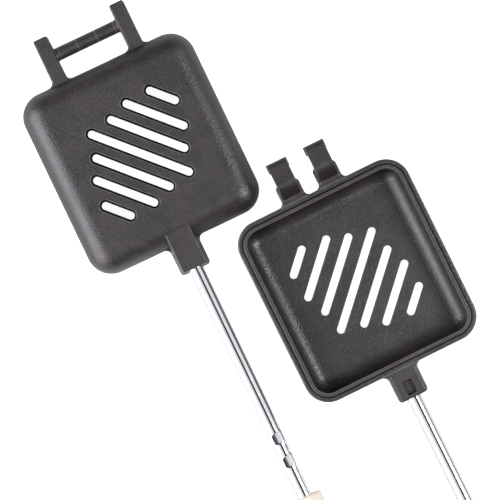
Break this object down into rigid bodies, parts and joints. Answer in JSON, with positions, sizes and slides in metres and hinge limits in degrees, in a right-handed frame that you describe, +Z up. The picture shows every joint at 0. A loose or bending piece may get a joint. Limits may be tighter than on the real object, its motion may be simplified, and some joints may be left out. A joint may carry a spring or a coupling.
{
  "type": "burger iron",
  "caption": "Square cast-iron burger and sandwich iron for an open fire: two slotted pans on long wood-gripped handles, joined by claws over a bar.",
  "frame": {"origin": "on the table, under the middle of the overall box of the two halves as they lie side by side", "axes": "+Z up from the table, +Y from the handles towards the hinge, +X across the pans from the yoke half to the hook half"},
  "size_m": [0.1981, 0.5828, 0.0364],
  "materials": {
    "cast_iron": "seasoned sand casting",
    "chrome": "bright plated",
    "steel": "zinc plated",
    "wood": "bare turned birch"
  },
  "bodies": {
    "hook_half": {"hook_pan": "cast_iron", "hook_handle_tube": "chrome", "hook_core_rod": "steel", "hook_grip": "wood", "hook_butt_washer": "steel"},
    "yoke_half": {"yoke_pan": "cast_iron", "yoke_handle_tube": "chrome", "yoke_core_rod": "steel", "yoke_grip": "wood", "yoke_butt_washer": "steel"}
  },
  "joints": [
    {"name": "bar_hinge", "type": "hinge", "parent": "hook_half", "child": "yoke_half", "pos_m": [-0.04051, 0.27763, 0.0055], "axis": [-0.9999, 0.0131, 0], "range_deg": [0, 180]}
  ]
}
